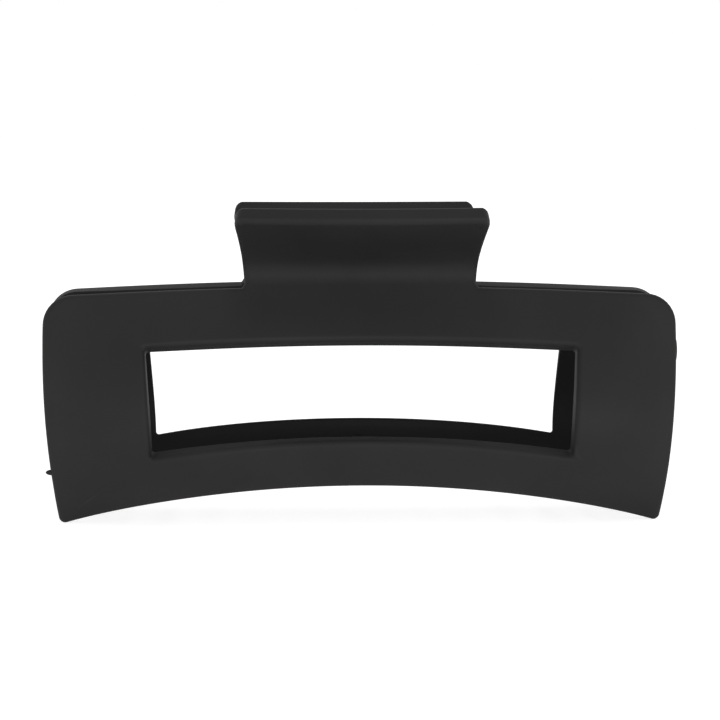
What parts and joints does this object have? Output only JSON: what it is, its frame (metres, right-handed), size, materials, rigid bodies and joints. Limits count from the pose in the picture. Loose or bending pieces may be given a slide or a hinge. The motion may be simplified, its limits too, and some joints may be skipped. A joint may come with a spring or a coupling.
{
  "type": "claw clip",
  "caption": "Rectangular matte black claw hair clip with open-window jaws, flared thumb handles and interleaving teeth, closed by a steel torsion spring on a hinge pin.",
  "frame": {"origin": "on the surface it stands on, midway between the two jaws and midway along the clip", "axes": "+X along the clip and its hinge pin, -Y towards the front jaw, +Z from the feet up to the thumb handles"},
  "size_m": [0.1102, 0.041, 0.055],
  "materials": {
    "front_plastic": "matte",
    "rear_plastic": "matte",
    "spring_steel": "satin",
    "pin_steel": "satin"
  },
  "bodies": {
    "rear": {"rear_jaw": "rear_plastic", "hinge_pin": "pin_steel", "torsion_spring": "spring_steel"},
    "front": {"front_jaw": "front_plastic"}
  },
  "joints": [
    {"name": "jaw_hinge", "type": "hinge", "parent": "rear", "child": "front", "pos_m": [0, 0, 0.0445], "axis": [-1, 0, 0], "range_deg": [0, 60], "stiffness_Nm_per_rad": 0.13, "springref_deg": -28.65, "deforming": ["torsion_spring"]}
  ]
}
